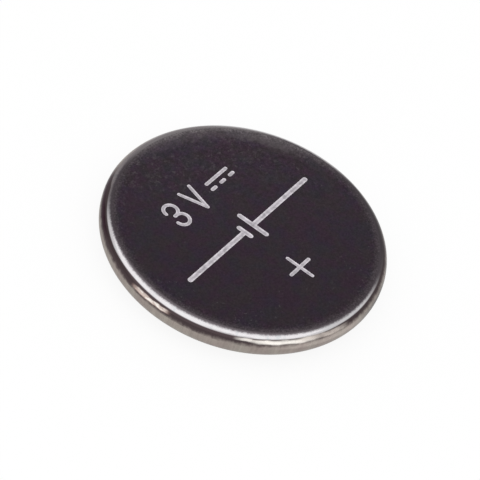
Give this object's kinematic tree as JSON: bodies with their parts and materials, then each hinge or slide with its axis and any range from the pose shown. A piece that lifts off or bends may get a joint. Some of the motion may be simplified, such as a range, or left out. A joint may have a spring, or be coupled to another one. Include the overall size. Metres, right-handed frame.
{
  "type": "lithium coin cell",
  "caption": "Flat round lithium coin cell with a crimped steel can, a proud negative cap and engraved polarity and voltage marks.",
  "frame": {"origin": "middle of the contact face of the negative cap, on which the cell rests", "axes": "+Z is the axis of the cell, from the negative cap up to the positive face; the marks on that face read along +X with +Y upwards"},
  "size_m": [0.0125, 0.0124, 0.0016],
  "materials": {
    "can_steel": "dark satin face, polished corner",
    "cap_steel": "satin",
    "seal_plastic": "moulded",
    "lithium_metal": "soft, matt",
    "separator_fibre": "non-woven",
    "pressed_oxide": "pressed powder, matt",
    "collector_steel": "thin bright sheet"
  },
  "bodies": {
    "root": {"positive_can": "can_steel", "negative_cap": "cap_steel", "gasket": "seal_plastic", "lithium_anode": "lithium_metal", "separator": "separator_fibre", "cathode_pellet": "pressed_oxide", "cathode_collector": "collector_steel"}
  },
  "joints": []
}
